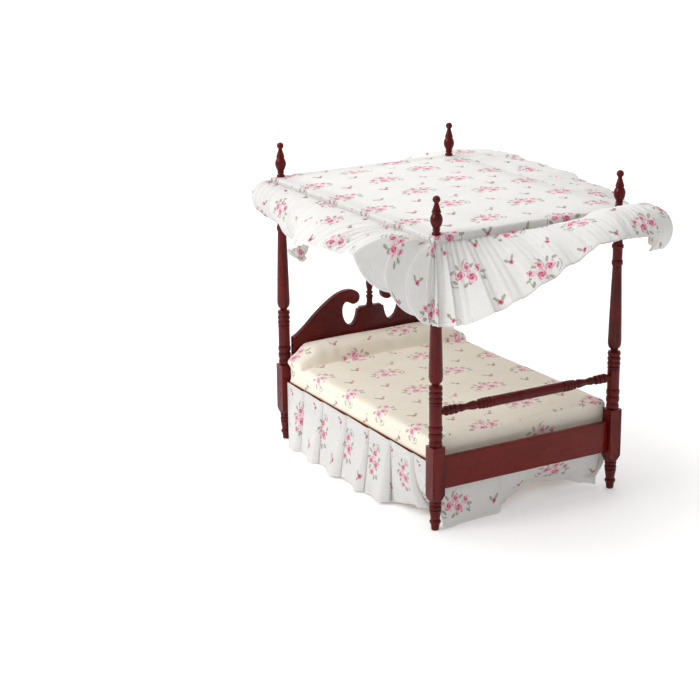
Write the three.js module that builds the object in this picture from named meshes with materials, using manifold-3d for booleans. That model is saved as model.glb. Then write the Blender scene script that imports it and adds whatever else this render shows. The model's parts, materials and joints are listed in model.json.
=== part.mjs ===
// A 1:12 dolls' house four poster bed: a turned mahogany bedstead, a lift-off fabric canopy held by
// four finials, and a bedding unit that lifts out. Millimetres, +Z up. The origin is the centre of the
// bed on the floor, +Y points to the headboard, and left (-X) and right (+X) are as seen from the foot.
import * as THREE from 'three';
import { mergeVertices } from 'three/addons/utils/BufferGeometryUtils.js';
import Module from 'manifold-3d';

// ---- driving dimensions ---------------------------------------------------------------------------
const POST_X = 61;              // half the spacing of the post axes across the bed
const POST_Y = 88;              // half the spacing of the post axes along the bed
const POST_TOP = 165;           // shoulder that carries the canopy frame
const BLOCK = 8;                // square block of each post, across flats
const BLOCK_BOTTOM = 21;
const BLOCK_TOP = 49.5;
const TURNED_SIDES = 10;        // facets round a turned piece

const CLEAR = 0.3;              // gap left between parts that fit into or beside each other
const DOWEL_RADIUS = 0.7;
const DOWEL_DEPTH = 2.5;        // how far a dowel reaches into each of the two pieces it joins
const PIN_RADIUS = 1.2;         // finial pins and spindle tenons
const PIN_DEPTH = 8;            // finial pin below the post shoulder

const FOOTBOARD = { bottom: 23.75, top: 42.5, thickness: 3 };
const HEADBOARD = { bottom: 23.75, thickness: 4, y: 86 };
const RAIL = { inner: 57.5, outer: 60.5, bottom: 24, top: 38.5 };
const LEDGER = { width: 3.5, bottom: 33, top: 36.5, halfLength: 80 };
const SLAT = { count: 5, width: 16, thickness: 2 };
const SPINDLE_Z = 69;

const BED_HALF_X = 61.75;       // outside of the bedspread
const BED_HALF_Y = 83.5;
const SPREAD_BOTTOM = 38.75;
const SPREAD_TOP = 54.5;
const SPREAD_THICKNESS = 1;
const BOLSTER_TOP = 65.5;       // outside of the bedspread over the bolster
const BOLSTER_FRONT = 68;       // where the bedspread rises over the bolster
const MATTRESS_BOARD = 1.5;     // thickness of the board under the mattress
const SKIRT_TOP = 38.25;
const HEM = 0.75;               // height of the skirt hems above the floor
const SKIRT_THICKNESS = 0.8;
const PLEATS_PER_SIDE = 6;
const PLEAT_DEPTH = 2.4;

const FRAME_WIDTH = 8;          // canopy frame battens
const FRAME_TOP = 168.25;
const FRAME_MIDDLE = 166.625;   // the half-lap plane of the corners
const CANOPY_CLOTH = 0.5;
const VALANCE_DROP = 45;        // cut height of the gathered valance
const VALANCE_THICKNESS = 0.8;

const FRAME_HALF_X = POST_X + FRAME_WIDTH / 2;
const FRAME_HALF_Y = POST_Y + FRAME_WIDTH / 2;
const POST_INNER_X = POST_X - BLOCK / 2;
const POST_INNER_Y = POST_Y - BLOCK / 2;
const CLOTH_TOP = FRAME_TOP + CANOPY_CLOTH;
const CORNERS = [
  ['front_left', -1, -1], ['front_right', 1, -1], ['back_left', -1, 1], ['back_right', 1, 1],
];

// ---- materials ------------------------------------------------------------------------------------
const finish = (color, roughness) => new THREE.MeshStandardMaterial({ color, roughness, metalness: 0 });
const mahogany = finish(0x7a2a24, 0.25);
const bareWood = finish(0xc2a077, 0.7);
const foam = finish(0xe8e2d0, 0.9);
const spreadCloth = finish(0xf6ecd8, 0.85);
const canopyCloth = finish(0xeeeaea, 0.85);

// ---- solids ---------------------------------------------------------------------------------------
const wasm = await Module();
wasm.setup();

function solid(geometry) {
  const bare = geometry.clone();
  for (const name of Object.keys(bare.attributes)) {
    if (name !== 'position') bare.deleteAttribute(name);
  }
  const merged = mergeVertices(bare, 1e-4);
  return new wasm.Manifold(new wasm.Mesh({
    numProp: 3,
    vertProperties: new Float32Array(merged.attributes.position.array),
    triVerts: new Uint32Array(merged.index.array),
  }));
}

function geometryOf(body) {
  const mesh = body.getMesh();
  const geometry = new THREE.BufferGeometry();
  geometry.setAttribute('position', new THREE.BufferAttribute(mesh.vertProperties, 3));
  geometry.setIndex(new THREE.BufferAttribute(mesh.triVerts, 1));
  const flat = geometry.toNonIndexed();
  flat.computeVertexNormals();
  return flat;
}

const bed = new THREE.Group();

function place(name, body, material, x = 0, y = 0, z = 0) {
  const mesh = new THREE.Mesh(geometryOf(body), material);
  mesh.name = name;
  mesh.position.set(x, y, z);
  bed.add(mesh);
}

function box(x0, x1, y0, y1, z0, z1) {
  const geometry = new THREE.BoxGeometry(x1 - x0, y1 - y0, z1 - z0);
  geometry.translate((x0 + x1) / 2, (y0 + y1) / 2, (z0 + z1) / 2);
  return solid(geometry);
}

// A turned solid round +Z from [radius, z] points, which start and end on the axis.
function turned(points, sides = TURNED_SIDES) {
  const geometry = new THREE.LatheGeometry(points.map(([r, z]) => new THREE.Vector2(r, z)), sides);
  geometry.rotateX(Math.PI / 2);
  return solid(geometry);
}

// A straight round bar or drill from one point to another along X, Y or Z.
function rod(radius, from, to, sides = 10) {
  const start = new THREE.Vector3(...from);
  const along = new THREE.Vector3(...to).sub(start);
  const geometry = new THREE.CylinderGeometry(radius, radius, along.length(), sides);
  geometry.translate(0, along.length() / 2, 0);
  const up = new THREE.Vector3(0, 1, 0);
  geometry.applyQuaternion(new THREE.Quaternion().setFromUnitVectors(up, along.normalize()));
  geometry.translate(start.x, start.y, start.z);
  return solid(geometry);
}

// An outline drawn across one axis and extruded along it from low to high. Its points are (x, y) for
// axis z, (x, z) for axis y and (y, z) for axis x.
function extruded(outline, axis, low, high) {
  const shape = outline instanceof THREE.Shape ? outline : new THREE.Shape(
    outline.map(([a, b]) => new THREE.Vector2(a, b)));
  const geometry = new THREE.ExtrudeGeometry(shape, {
    depth: high - low, bevelEnabled: false, curveSegments: 5,
  });
  geometry.translate(0, 0, low);
  if (axis === 'y') {
    geometry.rotateX(Math.PI / 2);
    geometry.translate(0, low + high, 0);
  } else if (axis === 'x') {
    geometry.applyMatrix4(new THREE.Matrix4().set(0, 0, 1, 0, 1, 0, 0, 0, 0, 1, 0, 0, 0, 0, 0, 1));
  }
  return solid(geometry);
}

// ---- turning profiles -----------------------------------------------------------------------------
// A bead of the given radius between two heights.
const bead = (radius, low, high) => [
  [radius - 0.7, low], [radius, (low + high) / 2], [radius - 0.7, high],
];

const lowerTurning = [
  [0, 0], [2.2, 0], [2.5, 2], ...bead(3.2, 4, 6), [2.7, 6.3], [3.4, 12],
  ...bead(3.5, 12.3, 14.6), ...bead(3.5, 14.8, 17), [3.1, 17.2], [3.1, BLOCK_BOTTOM + 1],
  [0, BLOCK_BOTTOM + 1],
];
const blockTurning = [
  [0, 17.2], [3.3, 17.2], [4.5, 18.6], [5.9, BLOCK_BOTTOM], [5.9, BLOCK_TOP], [0, BLOCK_TOP],
];
const upperTurning = [
  [0, BLOCK_TOP - 1], [3.4, BLOCK_TOP - 1], [3.4, 53.2], ...bead(3.9, 53.6, 57.6),
  ...bead(3.9, 57.7, 61.6), [3.6, 62.2], [3.6, 74], ...bead(3.8, 74.2, 75.4),
  ...bead(3.8, 75.5, 78.2), ...bead(3.8, 78.3, 81.4), ...bead(3.8, 81.5, 84.7), [2.1, 85.6],
  [3.4, 87.6], [3.9, 90], [3.75, 96], [2.7, 134.4], ...bead(3.3, 135.6, 138.8), [2.9, 139.2],
  [2.9, 145.4], ...bead(3.5, 145.6, 147.9), [2.75, 148.4], [2.75, 161], ...bead(3.3, 161.4, 163.6),
  [3.3, POST_TOP], [0, POST_TOP],
];
const finialTurning = [
  [0, CLOTH_TOP], [2.4, CLOTH_TOP], [2.4, 170.4], [1.7, 171], [2, 172.2], [2, 173],
  [3, 175], [3.35, 177.3], [2.9, 179.6], [2, 181], [2.6, 181.2], [2.5, 182], [1.25, 186.3],
  [2, 187.4], [2.12, 188.5], [1.5, 190], [0, 190.5],
];

// ---- posts ----------------------------------------------------------------------------------------
const FOOTBOARD_DOWELS = [30, 40];      // heights of the dowels
const HEADBOARD_DOWELS = [30, 40];
const RAIL_DOWELS = [26.5, 35];
const RAIL_MIDDLE = (RAIL.inner + RAIL.outer) / 2;
const DRILL = DOWEL_RADIUS + CLEAR;
const PIN_BORE = PIN_RADIUS + CLEAR;

// A post about its own axis; sx and sy say which corner of the bed it stands at.
function post(sx, sy) {
  const block = box(-BLOCK / 2, BLOCK / 2, -BLOCK / 2, BLOCK / 2, 17.2, BLOCK_TOP)
    .intersect(turned(blockTurning, 24));
  let body = turned(lowerTurning).add(block).add(turned(upperTurning));
  const depth = DOWEL_DEPTH + CLEAR;
  const endY = sy < 0 ? 0 : HEADBOARD.y - POST_Y;
  for (const z of sy < 0 ? FOOTBOARD_DOWELS : HEADBOARD_DOWELS) {
    const inner = -sx * BLOCK / 2;
    body = body.subtract(rod(DRILL, [inner - sx, endY, z], [inner + sx * depth, endY, z]));
  }
  for (const z of RAIL_DOWELS) {
    const inner = -sy * BLOCK / 2;
    const x = sx * (RAIL_MIDDLE - POST_X);
    body = body.subtract(rod(DRILL, [x, inner - sy, z], [x, inner + sy * depth, z]));
  }
  if (sy < 0) {
    body = body.subtract(rod(PIN_BORE, [-sx * 5, 0, SPINDLE_Z], [0, 0, SPINDLE_Z]));
  }
  return body.subtract(rod(PIN_BORE, [0, 0, POST_TOP - PIN_DEPTH - CLEAR], [0, 0, POST_TOP + 1]));
}

// A finial with the pin that passes through the canopy into its post.
function finial() {
  return turned(finialTurning).add(rod(PIN_RADIUS, [0, 0, POST_TOP - PIN_DEPTH], [0, 0, CLOTH_TOP + 1]));
}

for (const [corner, sx, sy] of CORNERS) {
  place(`post_${corner}`, post(sx, sy), mahogany, sx * POST_X, sy * POST_Y);
  place(`finial_${corner}`, finial(), mahogany, sx * POST_X, sy * POST_Y);
}

// ---- footboard, headboard and side rails, with their dowels ----------------------------------------
// A board between two posts, drilled for a dowel in each end at each height.
function drilledX(body, halfWidth, y, heights) {
  let result = body;
  for (const sx of [-1, 1]) {
    for (const z of heights) {
      const start = sx * (halfWidth + 1);
      const end = sx * (halfWidth - DOWEL_DEPTH - CLEAR);
      result = result.subtract(rod(DRILL, [start, y, z], [end, y, z]));
    }
  }
  return result;
}

function dowelsX(prefix, y, heights) {
  for (const [side, sx] of [['left', -1], ['right', 1]]) {
    heights.forEach((z, i) => {
      const ends = [POST_INNER_X - DOWEL_DEPTH, POST_INNER_X + DOWEL_DEPTH];
      place(`${prefix}_dowel_${side}_${i + 1}`,
        rod(DOWEL_RADIUS, [sx * ends[0], y, z], [sx * ends[1], y, z]), bareWood);
    });
  }
}

const footboard = box(-POST_INNER_X, POST_INNER_X, -POST_Y - FOOTBOARD.thickness / 2,
  -POST_Y + FOOTBOARD.thickness / 2, FOOTBOARD.bottom, FOOTBOARD.top);
place('footboard', drilledX(footboard, POST_INNER_X, -POST_Y, FOOTBOARD_DOWELS), mahogany);
dowelsX('footboard', -POST_Y, FOOTBOARD_DOWELS);

// The broken-arch crest on the right side, from the post to the centre plinth, as Bezier spans of
// (x, z): two control points and an end. The left side mirrors it.
const CREST_START = [56.5, 67];
const CREST = [
  [[51, 68.5], [46, 74], [37.7, 81.4]],
  [[31, 87.5], [24, 92], [16.3, 92]],
  [[11, 92], [8, 89], [8.1, 86.5]],
  [[8.3, 83], [12, 81.2], [16.4, 83.3]],
  [[19, 84.6], [20.8, 81.5], [20.8, 78.1]],
  [[20.8, 72.5], [17, 68.6], [14.3, 68.8]],
  [[11, 69.2], [9.8, 73], [9.1, 79.5]],
];
function headboardShape() {
  const shape = new THREE.Shape();
  const waist = BLOCK_TOP - 0.5;    // above it the panel narrows to clear the turned posts
  shape.moveTo(-POST_INNER_X, HEADBOARD.bottom);
  shape.lineTo(POST_INNER_X, HEADBOARD.bottom);
  shape.lineTo(POST_INNER_X, waist);
  shape.lineTo(CREST_START[0], waist);
  shape.lineTo(...CREST_START);
  for (const [first, second, end] of CREST) {
    shape.bezierCurveTo(...first, ...second, ...end);
  }
  const mirrored = ([x, z]) => [-x, z];
  shape.lineTo(...mirrored(CREST[CREST.length - 1][2]));
  for (let i = CREST.length - 1; i >= 0; i -= 1) {
    const [first, second] = CREST[i];
    const end = i > 0 ? CREST[i - 1][2] : CREST_START;
    shape.bezierCurveTo(...mirrored(second), ...mirrored(first), ...mirrored(end));
  }
  shape.lineTo(-CREST_START[0], waist);
  shape.lineTo(-POST_INNER_X, waist);
  return shape;
}
const PLINTH_TOP = 79.5;
const HEADBOARD_PIN = 5;
const headboard = extruded(headboardShape(), 'y',
  HEADBOARD.y - HEADBOARD.thickness / 2, HEADBOARD.y + HEADBOARD.thickness / 2)
  .subtract(rod(PIN_BORE, [0, HEADBOARD.y, PLINTH_TOP - HEADBOARD_PIN - CLEAR],
    [0, HEADBOARD.y, PLINTH_TOP + 1]));
place('headboard_panel', drilledX(headboard, POST_INNER_X, HEADBOARD.y, HEADBOARD_DOWELS), mahogany);
dowelsX('headboard', HEADBOARD.y, HEADBOARD_DOWELS);

const headboardFinial = turned([
  [0, PLINTH_TOP], [1.95, PLINTH_TOP], [1.95, 81], [1.7, 82], [1.7, 84.5], [2, 85.5], [1.5, 87],
  [1.9, 88], [1.4, 89.5], [1.9, 92], [1.95, 95], [1.3, 98.5], [0, 101.5],
]).add(rod(PIN_RADIUS, [0, 0, PLINTH_TOP - HEADBOARD_PIN], [0, 0, PLINTH_TOP + 1]));
place('headboard_finial', headboardFinial, mahogany, 0, HEADBOARD.y);

for (const [side, sx] of [['left', -1], ['right', 1]]) {
  const faces = [sx * RAIL.inner, sx * RAIL.outer].sort((a, b) => a - b);
  let rail = box(faces[0], faces[1], -POST_INNER_Y, POST_INNER_Y, RAIL.bottom, RAIL.top);
  const x = sx * RAIL_MIDDLE;
  for (const [end, sy] of [['front', -1], ['back', 1]]) {
    RAIL_DOWELS.forEach((z, i) => {
      const far = sy * (POST_INNER_Y + 1);
      rail = rail.subtract(rod(DRILL, [x, far, z], [x, sy * (POST_INNER_Y - DOWEL_DEPTH - CLEAR), z]));
      place(`rail_dowel_${end}_${side}_${i + 1}`, rod(DOWEL_RADIUS,
        [x, sy * (POST_INNER_Y - DOWEL_DEPTH), z], [x, sy * (POST_INNER_Y + DOWEL_DEPTH), z]), bareWood);
    });
  }
  place(`side_rail_${side}`, rail, mahogany);
  const ledge = [sx * (RAIL.inner - LEDGER.width), sx * RAIL.inner].sort((a, b) => a - b);
  place(`slat_ledger_${side}`,
    box(ledge[0], ledge[1], -LEDGER.halfLength, LEDGER.halfLength, LEDGER.bottom, LEDGER.top), bareWood);
}

// ---- slats ----------------------------------------------------------------------------------------
for (let i = 0; i < SLAT.count; i += 1) {
  const reach = LEDGER.halfLength - SLAT.width / 2;
  const y = -reach + (2 * reach * i) / (SLAT.count - 1);
  const halfLength = RAIL.inner - 0.5;
  place(`slat_${i + 1}`, box(-halfLength, halfLength, y - SLAT.width / 2, y + SLAT.width / 2,
    LEDGER.top, LEDGER.top + SLAT.thickness), bareWood);
}

// ---- foot spindle: symmetrical turning with a tenon in each front post -----------------------------
const spindleHalf = [
  [2.9, 24.4], ...bead(3.1, 24.6, 26.6), ...bead(3.1, 26.8, 28.8), ...bead(3.1, 29, 31),
  ...bead(2.9, 31.2, 33), [1.9, 33.6], [2.5, 36], [1.8, 41], [2.25, 44.5], [1.8, 46.6],
  ...bead(2.6, 47, 49.6), ...bead(2.7, 49.8, 52.6), ...bead(2.7, 52.8, 55.4), [2, 55.8], [2, 57.1],
];
const spindle = turned([
  [0, -57.1], ...spindleHalf.map(([r, z]) => [r, -z]).reverse(), ...spindleHalf, [0, 57.1],
], 10).add(rod(PIN_RADIUS, [0, 0, -60], [0, 0, 60])).rotate([0, 90, 0]);
place('foot_spindle', spindle, mahogany, 0, -POST_Y, SPINDLE_Z);

// ---- bedding --------------------------------------------------------------------------------------
const BOARD_BOTTOM = SPREAD_BOTTOM;
const BOARD_TOP = BOARD_BOTTOM + MATTRESS_BOARD;
const CORE_X = BED_HALF_X - SPREAD_THICKNESS - CLEAR;
const CORE_Y = BED_HALF_Y - SPREAD_THICKNESS - CLEAR;
const CORE_TOP = SPREAD_TOP - SPREAD_THICKNESS - CLEAR;
place('mattress_board', box(-CORE_X, CORE_X, -CORE_Y, CORE_Y, BOARD_BOTTOM, BOARD_TOP), bareWood);

// The long section of the bedding, as (y, z): grow moves every face outward by that much.
function beddingSection(grow, bottom) {
  const front = -CORE_Y - grow;
  const back = CORE_Y + grow;
  const top = CORE_TOP + grow;
  const rise = BOLSTER_FRONT + 1.3 - grow;
  const crown = BOLSTER_TOP - 1.3 + grow;
  return [
    [front, bottom], [back, bottom], [back, crown - 3], [back - 2.5, crown], [rise + 6, crown],
    [rise + 2, crown - 4], [rise, top], [front + 2.5, top], [front, top - 2.5],
  ];
}

// The cross section, as (x, z): the bolster's ends slope down to the mattress edges.
function beddingAcross(grow, bottom) {
  const side = CORE_X + grow;
  const crown = BOLSTER_TOP - 1.3 + grow;
  return [
    [-side, bottom], [side, bottom], [side, CORE_TOP - 2 + grow], [side - 1.5, CORE_TOP + grow],
    [51.5 + grow, crown - 1], [50 + grow, crown], [-50 - grow, crown], [-51.5 - grow, crown - 1],
    [-side + 1.5, CORE_TOP + grow], [-side, CORE_TOP - 2 + grow],
  ];
}

function beddingBlock(grow, bottom) {
  const reach = CORE_X + grow;
  return extruded(beddingSection(grow, bottom), 'x', -reach, reach)
    .intersect(extruded(beddingAcross(grow, bottom), 'y', -CORE_Y - grow, CORE_Y + grow));
}

const filling = beddingBlock(0, BOARD_TOP + CLEAR);
const mattress = filling.intersect(box(-80, 80, -100, 100, 0, CORE_TOP));
const bolster = filling.intersect(box(-80, 80, BOLSTER_FRONT - 5, 100, CORE_TOP + CLEAR, 100));
place('mattress_core', mattress, foam);
place('bolster', bolster, foam);
const spread = beddingBlock(SPREAD_THICKNESS + CLEAR, SPREAD_BOTTOM)
  .subtract(beddingBlock(CLEAR, SPREAD_BOTTOM - 1));
place('bedspread', spread, spreadCloth);

// A hanging strip of cloth that zigzags in soft pleats: path points are (along, out).
function pleatedStrip(halfLength, pleats, depth) {
  const outer = [];
  const steps = pleats * 4;
  for (let i = 0; i <= steps; i += 1) {
    const along = -halfLength + (2 * halfLength * i) / steps;
    const wave = (depth / 2) * (1 - Math.cos((2 * Math.PI * pleats * i) / steps));
    outer.push([along, wave]);
  }
  const inner = outer.map(([along, out]) => [along, out - SKIRT_THICKNESS]).reverse();
  return [...outer, ...inner];
}

const SIDE_SKIRT_X = BED_HALF_X;
for (const [side, sx] of [['left', -1], ['right', 1]]) {
  const strip = pleatedStrip(BED_HALF_Y - 0.25, PLEATS_PER_SIDE, PLEAT_DEPTH)
    .map(([along, out]) => [sx * (SIDE_SKIRT_X + out), along * -sx]);
  place(`skirt_${side}`, extruded(strip.reverse(), 'z', HEM, SKIRT_TOP), canopyCloth);
}
const FRONT_SKIRT_Y = -84.7;
place('skirt_front', box(-POST_INNER_X + 0.5, POST_INNER_X - 0.5,
  FRONT_SKIRT_Y, FRONT_SKIRT_Y + SKIRT_THICKNESS, HEM, SKIRT_TOP), canopyCloth);

// ---- canopy: a half-lapped batten frame, its top cloth and four gathered valances ------------------
// Drills the four holes that the finial pins pass through.
function pinHoles(body) {
  let result = body;
  for (const [, sx, sy] of CORNERS) {
    const x = sx * POST_X;
    const y = sy * POST_Y;
    result = result.subtract(rod(PIN_BORE, [x, y, POST_TOP - 1], [x, y, CLOTH_TOP + 1]));
  }
  return result;
}

const INNER_FRAME_X = FRAME_HALF_X - FRAME_WIDTH;
const INNER_FRAME_Y = FRAME_HALF_Y - FRAME_WIDTH;
for (const [name, sy] of [['front', -1], ['back', 1]]) {
  const ends = [sy * INNER_FRAME_Y, sy * FRAME_HALF_Y].sort((a, b) => a - b);
  const batten = box(-FRAME_HALF_X, FRAME_HALF_X, ends[0], ends[1], POST_TOP, FRAME_MIDDLE)
    .add(box(-INNER_FRAME_X, INNER_FRAME_X, ends[0], ends[1], POST_TOP, FRAME_TOP));
  place(`canopy_batten_${name}`, pinHoles(batten), bareWood);
}
for (const [name, sx] of [['left', -1], ['right', 1]]) {
  const ends = [sx * INNER_FRAME_X, sx * FRAME_HALF_X].sort((a, b) => a - b);
  const batten = box(ends[0], ends[1], -FRAME_HALF_Y, FRAME_HALF_Y, FRAME_MIDDLE, FRAME_TOP)
    .add(box(ends[0], ends[1], -INNER_FRAME_Y, INNER_FRAME_Y, POST_TOP, FRAME_TOP));
  place(`canopy_batten_${name}`, pinHoles(batten), bareWood);
}

const clothX = FRAME_HALF_X + CANOPY_CLOTH;
const clothY = FRAME_HALF_Y + CANOPY_CLOTH;
const topCloth = box(-clothX, clothX, -clothY, clothY, POST_TOP + 0.5, CLOTH_TOP)
  .subtract(box(-FRAME_HALF_X, FRAME_HALF_X, -FRAME_HALF_Y, FRAME_HALF_Y, POST_TOP, FRAME_TOP));
place('canopy_top_cloth', pinHoles(topCloth), canopyCloth);

// How each valance stands: at a place along its side from 0 to 1, the slope at the seam and at the
// hem, in degrees outward from hanging straight down. The sides run round the canopy anticlockwise.
const VALANCES = {
  front: [[0, 12, 2], [0.2, 28, 14], [0.42, 70, 40], [0.6, 92, 45], [0.8, 98, 46], [1, 82, 40]],
  right: [[0, 82, 40], [0.2, 78, 40], [0.5, 84, 44], [0.85, 88, 47], [1, 88, 50]],
  back: [[0, 88, 50], [0.3, 88, 48], [0.6, 85, 46], [0.85, 80, 25], [1, 75, 5]],
  left: [[0, 75, 5], [0.38, 62, 22], [0.5, 80, 34], [0.65, 85, 40], [0.88, 30, 8], [1, 12, 2]],
};
const CORNER_TURN = 42;         // degrees by which a valance fans round towards the next side
const FAN_SHARE = 0.1;          // part of each side's length that fans
const SEAM_Z = POST_TOP + 1;
const SEAM_GAP = 0.8;           // from the cloth's edge to the middle of the valance sheet

function slopeAt(keys, s) {
  const next = Math.max(1, keys.findIndex(([place]) => place >= s));
  const [a, b] = [keys[next - 1], keys[next]];
  const share = THREE.MathUtils.smoothstep(s, a[0], b[0]);
  return [THREE.MathUtils.lerp(a[1], b[1], share), THREE.MathUtils.lerp(a[2], b[2], share)];
}

// The middle surface of a valance, from s = 0 to 1 along its seam and t = 0 to 1 down to its hem.
function valancePoint(keys, halfSide, offset, turn, s, t) {
  const [seam, hem] = slopeAt(keys, s);
  const steps = 12;
  let out = 0;
  let down = 0;
  for (let i = 0; i < steps; i += 1) {
    const share = (i + 0.5) / steps;
    const angle = THREE.MathUtils.degToRad(THREE.MathUtils.lerp(seam, hem, share * t));
    out += (Math.sin(angle) * t * VALANCE_DROP) / steps;
    down += (Math.cos(angle) * t * VALANCE_DROP) / steps;
  }
  const fromEnd = Math.min(s, 1 - s);
  const fan = Math.max(0, 1 - fromEnd / FAN_SHARE) * Math.sign(s - 0.5);
  const heading = THREE.MathUtils.degToRad(CORNER_TURN * fan);
  const local = new THREE.Vector3(
    THREE.MathUtils.lerp(-halfSide, halfSide, s) + out * Math.sin(heading),
    -offset - out * Math.cos(heading),
    SEAM_Z - down,
  );
  return local.applyAxisAngle(new THREE.Vector3(0, 0, 1), turn);
}

// A closed sheet of the given thickness round a surface sampled in columns and rows.
function sheetSolid(pointAt, columns, rows, thickness) {
  const small = 1e-3;
  const points = [];
  for (const side of [1, -1]) {
    for (let i = 0; i <= columns; i += 1) {
      for (let j = 0; j <= rows; j += 1) {
        const s = THREE.MathUtils.clamp(i / columns, small, 1 - small);
        const t = THREE.MathUtils.clamp(j / rows, small, 1 - small);
        const along = pointAt(s + small, t).sub(pointAt(s - small, t));
        const down = pointAt(s, t + small).sub(pointAt(s, t - small));
        const normal = along.cross(down).normalize();
        points.push(pointAt(i / columns, j / rows).addScaledVector(normal, (side * thickness) / 2));
      }
    }
  }
  const layer = (columns + 1) * (rows + 1);
  const at = (i, j, back) => back * layer + i * (rows + 1) + j;
  const index = [];
  const quad = (a, b, c, d) => index.push(a, b, c, a, c, d);
  for (let i = 0; i < columns; i += 1) {
    for (let j = 0; j < rows; j += 1) {
      quad(at(i, j, 0), at(i + 1, j, 0), at(i + 1, j + 1, 0), at(i, j + 1, 0));
      quad(at(i, j, 1), at(i, j + 1, 1), at(i + 1, j + 1, 1), at(i + 1, j, 1));
    }
    quad(at(i, 0, 0), at(i, 0, 1), at(i + 1, 0, 1), at(i + 1, 0, 0));
    quad(at(i, rows, 0), at(i + 1, rows, 0), at(i + 1, rows, 1), at(i, rows, 1));
  }
  for (let j = 0; j < rows; j += 1) {
    quad(at(0, j, 0), at(0, j + 1, 0), at(0, j + 1, 1), at(0, j, 1));
    quad(at(columns, j, 0), at(columns, j, 1), at(columns, j + 1, 1), at(columns, j + 1, 0));
  }
  const geometry = new THREE.BufferGeometry().setFromPoints(points);
  geometry.setIndex(index);
  return solid(geometry);
}

const SIDES = [
  ['front', clothX, clothY, 0], ['right', clothY, clothX, Math.PI / 2],
  ['back', clothX, clothY, Math.PI], ['left', clothY, clothX, -Math.PI / 2],
];
for (const [name, halfSide, offset, turn] of SIDES) {
  const pointAt = (s, t) => valancePoint(
    VALANCES[name], halfSide - SEAM_GAP, offset + SEAM_GAP, turn, s, t);
  place(`valance_${name}`, sheetSolid(pointAt, 20, 5, VALANCE_THICKNESS), canopyCloth);
}

export default bed;
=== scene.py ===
import json
import math

import bmesh
import bpy
import numpy as np
from mathutils import Matrix, Vector, noise


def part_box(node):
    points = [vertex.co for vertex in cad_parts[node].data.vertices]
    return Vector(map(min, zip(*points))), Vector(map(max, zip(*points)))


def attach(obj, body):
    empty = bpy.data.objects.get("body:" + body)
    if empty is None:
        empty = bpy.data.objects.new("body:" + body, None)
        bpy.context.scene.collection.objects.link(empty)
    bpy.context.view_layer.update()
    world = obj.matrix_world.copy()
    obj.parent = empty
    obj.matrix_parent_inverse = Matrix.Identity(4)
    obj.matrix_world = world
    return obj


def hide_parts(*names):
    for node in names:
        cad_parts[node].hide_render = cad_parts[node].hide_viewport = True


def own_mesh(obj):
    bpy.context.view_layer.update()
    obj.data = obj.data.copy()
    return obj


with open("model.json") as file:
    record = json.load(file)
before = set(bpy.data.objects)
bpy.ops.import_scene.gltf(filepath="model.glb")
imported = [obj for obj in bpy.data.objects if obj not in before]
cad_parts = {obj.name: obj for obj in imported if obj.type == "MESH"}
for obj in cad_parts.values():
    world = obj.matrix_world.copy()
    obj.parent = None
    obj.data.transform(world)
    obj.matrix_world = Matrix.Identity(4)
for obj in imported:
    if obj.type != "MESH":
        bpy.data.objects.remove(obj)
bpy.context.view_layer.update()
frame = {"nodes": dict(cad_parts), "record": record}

MM = 0.001

# ---- places taken from the frame, in millimetres ----
# Lengths are in millimetres unless a comment says otherwise; MM turns them into metres.


def box_mm(node):
    low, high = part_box(node)
    return np.array(low) / MM, np.array(high) / MM


POST_LOW, POST_HIGH = box_mm("post_front_right")
POST_X = (POST_LOW[0] + POST_HIGH[0]) / 2
POST_Y = -(POST_LOW[1] + POST_HIGH[1]) / 2
POST_TOP = POST_HIGH[2]
BLOCK = POST_HIGH[0] - POST_LOW[0]
HEADBOARD_LOW, HEADBOARD_HIGH = box_mm("headboard_panel")
SPINDLE_LOW, SPINDLE_HIGH = box_mm("foot_spindle")
SPREAD_LOW, SPREAD_HIGH = box_mm("bedspread")
CLOTH_LOW, CLOTH_HIGH = box_mm("canopy_top_cloth")
SKIRT_LOW, SKIRT_HIGH = box_mm("skirt_front")
CORNERS = {  # which way each corner lies from the middle, along X and Y
    "front_left": (-1, -1),
    "front_right": (1, -1),
    "back_left": (-1, 1),
    "back_right": (1, 1),
}

# ---- camera ----
CAMERA_PLACE = (-0.5796, -0.8976, 0.4042)  # in metres
CAMERA_LENS = 95.45  # focal length on a 36 mm sensor
CAMERA_YAW = math.radians(29.868)
CAMERA_PITCH = math.radians(17.276)
CAMERA_ROLL = math.radians(-0.59)


def make_camera():
    data = bpy.data.cameras.new("camera")
    data.sensor_width = 36
    data.lens = CAMERA_LENS
    data.clip_start, data.clip_end = 0.05, 20
    camera = bpy.data.objects.new("camera", data)
    bpy.context.scene.collection.objects.link(camera)
    camera.matrix_world = (
        Matrix.Translation(CAMERA_PLACE)
        @ Matrix.Rotation(-CAMERA_YAW, 4, "Z")
        @ Matrix.Rotation(math.pi / 2 - CAMERA_PITCH, 4, "X")
        @ Matrix.Rotation(CAMERA_ROLL, 4, "Z")
    )
    bpy.context.scene.camera = camera


make_camera()

# ---- material nodes ----


def srgb(red, green, blue):
    """An 8-bit screen colour as the linear colour that shaders use."""
    linear = [c / 12.92 if c <= 0.04045 else ((c + 0.055) / 1.055) ** 2.4 for c in
              (red / 255, green / 255, blue / 255)]
    return (*linear, 1.0)


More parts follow.
